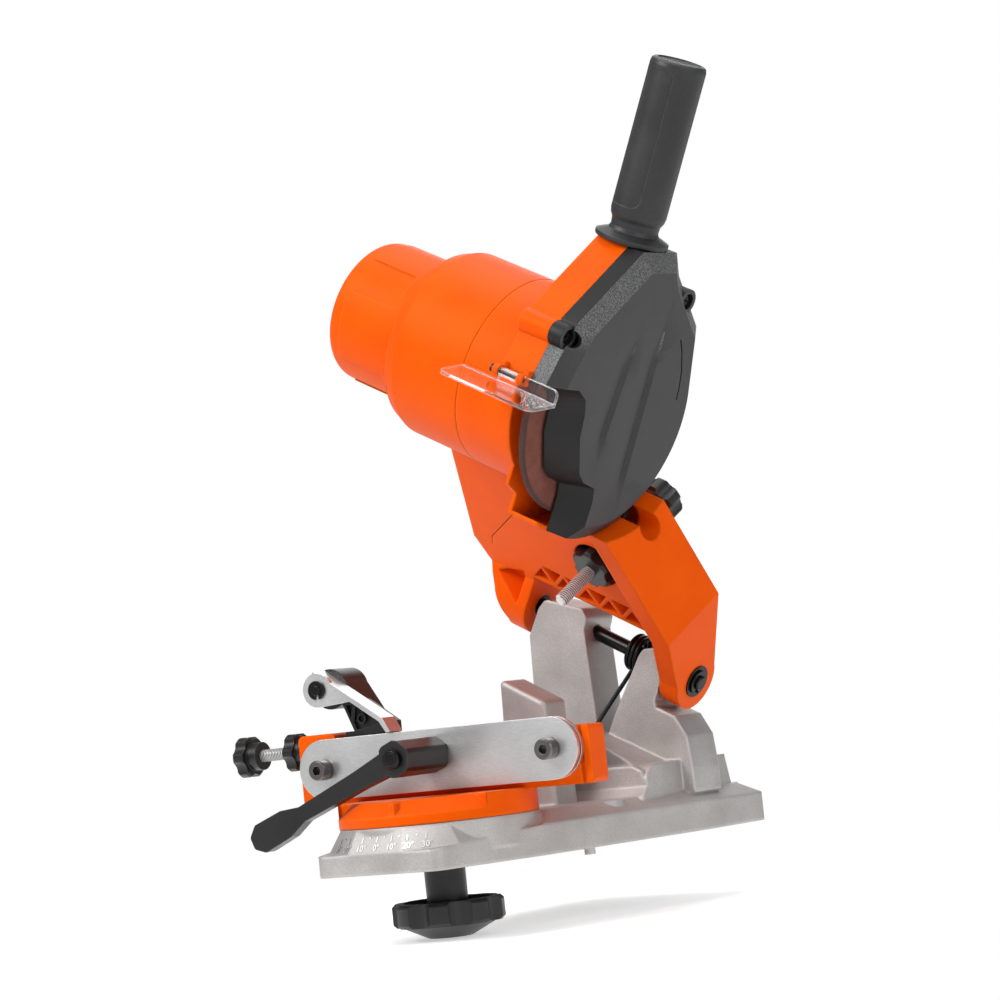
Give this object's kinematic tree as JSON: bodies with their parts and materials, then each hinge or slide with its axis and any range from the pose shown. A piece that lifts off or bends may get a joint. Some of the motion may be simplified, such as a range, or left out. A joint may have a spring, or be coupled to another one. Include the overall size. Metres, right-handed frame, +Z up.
{
  "type": "electric chainsaw sharpener",
  "caption": "Bench-mounted electric chain grinder: orange tilting motor head with a thin abrasive wheel over a swivelling chain vice on a cast aluminium base.",
  "frame": {"origin": "centre of the four bench bolt holes, on the underside of the base", "axes": "+X to the operator's right, +Y to the back of the bench, +Z up"},
  "size_m": [0.3713, 0.321, 0.5268],
  "materials": {
    "cast_aluminium": "sand cast",
    "orange_plastic": "satin",
    "black_plastic": "fine grain",
    "black_metal": "satin",
    "zinc_steel": "zinc plated",
    "dark_steel": "blackened",
    "bronze": "machined",
    "motor_iron": "laminated",
    "copper": "lacquered",
    "abrasive": "bonded grit",
    "clear_plastic": "clear",
    "red_plastic": "gloss",
    "black_rubber": "matte"
  },
  "bodies": {
    "base": {"base_casting": "cast_aluminium", "pivot_shaft": "dark_steel", "shaft_circlips": "dark_steel", "return_spring": "dark_steel"},
    "vice": {"turntable": "orange_plastic", "turntable_stud": "zinc_steel", "far_rail_plate": "zinc_steel", "rail_screws": "zinc_steel", "clamp_stud": "zinc_steel", "clamp_cap": "dark_steel"},
    "near_jaw": {"near_rail_plate": "zinc_steel"},
    "clamp_lever": {"clamp_lever": "black_metal"},
    "stop_slide": {"stop_carrier": "black_metal", "stop_pin": "zinc_steel", "stop_pin_clip": "dark_steel", "stop_screw_rod": "zinc_steel"},
    "stop_knob": {"stop_screw_knob": "black_plastic"},
    "stop_nut": {"stop_jam_nut": "black_plastic"},
    "stop_finger": {"stop_link": "zinc_steel"},
    "lock_slide": {"lock_washer": "zinc_steel"},
    "lock_knob": {"lock_knob": "black_plastic"},
    "head": {"front_housing": "orange_plastic", "rear_housing": "orange_plastic", "guard_cover": "black_plastic", "guard_screws": "dark_steel", "handle_grip": "black_plastic", "handle_stud": "zinc_steel", "shaft_bushes": "dark_steel", "depth_nut_insert": "bronze", "shield_pin": "zinc_steel", "motor_bearings": "zinc_steel", "stator_core": "motor_iron", "stator_windings": "copper", "run_capacitor": "cast_aluminium", "drum_screws": "zinc_steel", "switch_body": "black_plastic", "cable_gland": "black_rubber"},
    "spindle": {"grinding_wheel": "abrasive", "inner_flange": "zinc_steel", "outer_flange": "zinc_steel", "wheel_nut": "zinc_steel", "motor_shaft": "zinc_steel", "rotor_core": "motor_iron", "cooling_fan": "black_plastic"},
    "eye_shield": {"eye_shield": "clear_plastic"},
    "power_switch": {"switch_rocker": "red_plastic"},
    "depth_screw": {"depth_screw_rod": "zinc_steel"},
    "depth_knob": {"depth_knob": "black_plastic"},
    "depth_nut": {"depth_jam_nut": "black_plastic"}
  },
  "joints": [
    {"name": "head_swing", "type": "hinge", "parent": "base", "child": "head", "pos_m": [0.02211, 0.019, 0.12779], "axis": [0.8829, 0, -0.4695], "range_deg": [0, 41], "stiffness_Nm_per_rad": 4.5, "springref_deg": -85.94, "deforming": ["return_spring"]},
    {"name": "spindle_spin", "type": "hinge", "parent": "head", "child": "spindle", "pos_m": [0.10093, -0.09627, 0.27601], "axis": [0.8829, 0, -0.4695], "continuous": true},
    {"name": "shield_tilt", "type": "hinge", "parent": "head", "child": "eye_shield", "pos_m": [0.1009, -0.18527, 0.29301], "axis": [-0.8829, 0, 0.4695], "range_deg": [0, 70]},
    {"name": "power_rocker", "type": "hinge", "parent": "head", "child": "power_switch", "pos_m": [0.01616, -0.03377, 0.32108], "axis": [0.8829, 0, -0.4695], "range_deg": [0, 14]},
    {"name": "depth_advance", "type": "slide", "parent": "head", "child": "depth_screw", "axis": [0.3099, 0.7513, 0.5827], "range_m": [0, 0.015]},
    {"name": "depth_knob_turn", "type": "hinge", "parent": "depth_screw", "child": "depth_knob", "pos_m": [0.06681, 0.01927, 0.22037], "axis": [0.3099, 0.7513, 0.5827], "range_deg": [0, 3601]},
    {"name": "depth_nut_turn", "type": "hinge", "parent": "head", "child": "depth_nut", "pos_m": [0.04512, -0.03332, 0.17958], "axis": [0.3099, 0.7513, 0.5827], "range_deg": [0, 360]},
    {"name": "turntable_swivel", "type": "hinge", "parent": "base", "child": "vice", "pos_m": [0, -0.169, 0.035], "axis": [0, 0, 1], "range_deg": [-39.5, 30.5]},
    {"name": "jaw_close", "type": "slide", "parent": "vice", "child": "near_jaw", "axis": [-0.0785, 0.9969, 0], "range_m": [0, 0.00034]},
    {"name": "clamp_turn", "type": "hinge", "parent": "near_jaw", "child": "clamp_lever", "pos_m": [0.00702, -0.21359, 0.0685], "axis": [-0.0785, 0.9969, 0], "range_deg": [0, 60]},
    {"name": "stop_advance", "type": "slide", "parent": "vice", "child": "stop_slide", "axis": [0.9969, 0.0785, 0], "range_m": [-0.005, 0.005]},
    {"name": "stop_knob_turn", "type": "hinge", "parent": "stop_slide", "child": "stop_knob", "pos_m": [-0.15055, -0.16791, 0.078], "axis": [0.9969, 0.0785, 0], "range_deg": [-1441, 1441]},
    {"name": "stop_nut_turn", "type": "hinge", "parent": "vice", "child": "stop_nut", "pos_m": [-0.11267, -0.16493, 0.078], "axis": [0.9969, 0.0785, 0], "range_deg": [0, 360]},
    {"name": "finger_lift", "type": "hinge", "parent": "stop_slide", "child": "stop_finger", "pos_m": [-0.07783, -0.18064, 0.1162], "axis": [0.0785, -0.9969, 0], "range_deg": [0, 30]},
    {"name": "lock_advance", "type": "slide", "parent": "vice", "child": "lock_slide", "axis": [0, 0, 1], "range_m": [-0.0015, 0]},
    {"name": "lock_knob_turn", "type": "hinge", "parent": "lock_slide", "child": "lock_knob", "pos_m": [0, -0.169, -0.03], "axis": [0, 0, 1], "range_deg": [-361, 0]}
  ],
  "couplings": [
    {"joint": "depth_knob_turn", "follows": "depth_advance", "rad_per_m": 4188.8},
    {"joint": "stop_knob_turn", "follows": "stop_advance", "rad_per_m": 5026.5},
    {"joint": "lock_knob_turn", "follows": "lock_advance", "rad_per_m": 4188.8},
    {"joint": "jaw_close", "follows": "clamp_turn", "m_per_rad": 0.00031831}
  ]
}
